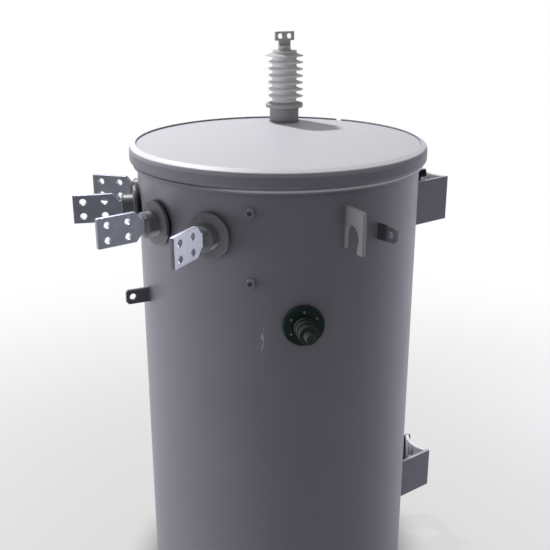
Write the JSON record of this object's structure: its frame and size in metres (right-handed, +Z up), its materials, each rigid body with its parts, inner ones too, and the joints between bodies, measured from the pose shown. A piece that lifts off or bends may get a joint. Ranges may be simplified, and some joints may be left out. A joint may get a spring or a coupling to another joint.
{
  "type": "pole mounted distribution transformer",
  "caption": "Round steel transformer tank with a clamped lid, a ribbed high voltage bushing on top, low voltage blade terminals on the side and hanger brackets for a pole.",
  "frame": {"origin": "where the tank axis meets the floor, on the underside of the tank bottom", "axes": "+Z up along the tank axis, +Y towards the pole, -Y towards the low voltage terminals"},
  "size_m": [0.7366, 0.8396, 1.2581],
  "materials": {
    "tank_paint": "semi-gloss grey tank enamel",
    "lid_paint": "pale grey satin lid enamel",
    "gasket_rubber": "black moulded rubber",
    "bushing_resin": "dark grey-green cast resin",
    "hv_porcelain": "grey glazed porcelain",
    "terminal_metal": "tinned plate terminal",
    "tap_enamel": "dark green gloss enamel",
    "bolt_steel": "zinc plated steel"
  },
  "bodies": {
    "root": {"clamp_band": "tank_paint", "clamp_bolt": "bolt_steel", "clamp_ear_left": "tank_paint", "clamp_ear_right": "tank_paint", "front_earth_tab": "tank_paint", "hv_base": "hv_porcelain", "hv_gasket": "gasket_rubber", "hv_insulator": "hv_porcelain", "hv_stud": "terminal_metal", "hv_terminal": "terminal_metal", "left_lifting_lug": "tank_paint", "lid": "lid_paint", "lid_gasket": "gasket_rubber", "lower_hanger_left_plate": "tank_paint", "lower_hanger_right_plate": "tank_paint", "lower_hanger_saddle": "tank_paint", "lower_side_boss": "tank_paint", "lv_bushing_1": "bushing_resin", "lv_bushing_2": "bushing_resin", "lv_bushing_3": "bushing_resin", "lv_bushing_4": "bushing_resin", "lv_gasket_1": "gasket_rubber", "lv_gasket_2": "gasket_rubber", "lv_gasket_3": "gasket_rubber", "lv_gasket_4": "gasket_rubber", "lv_terminal_1": "terminal_metal", "lv_terminal_2": "terminal_metal", "lv_terminal_3": "terminal_metal", "lv_terminal_4": "terminal_metal", "right_lifting_lug": "tank_paint", "side_earth_tab": "tank_paint", "tank_bottom": "tank_paint", "tank_rim": "tank_paint", "tank_wall": "tank_paint", "tap_flange": "tap_enamel", "tap_nose": "tap_enamel", "tap_tip": "tap_enamel", "upper_hanger_left_plate": "tank_paint", "upper_hanger_right_plate": "tank_paint", "upper_hanger_saddle": "tank_paint", "upper_side_boss": "tank_paint"}
  },
  "joints": []
}
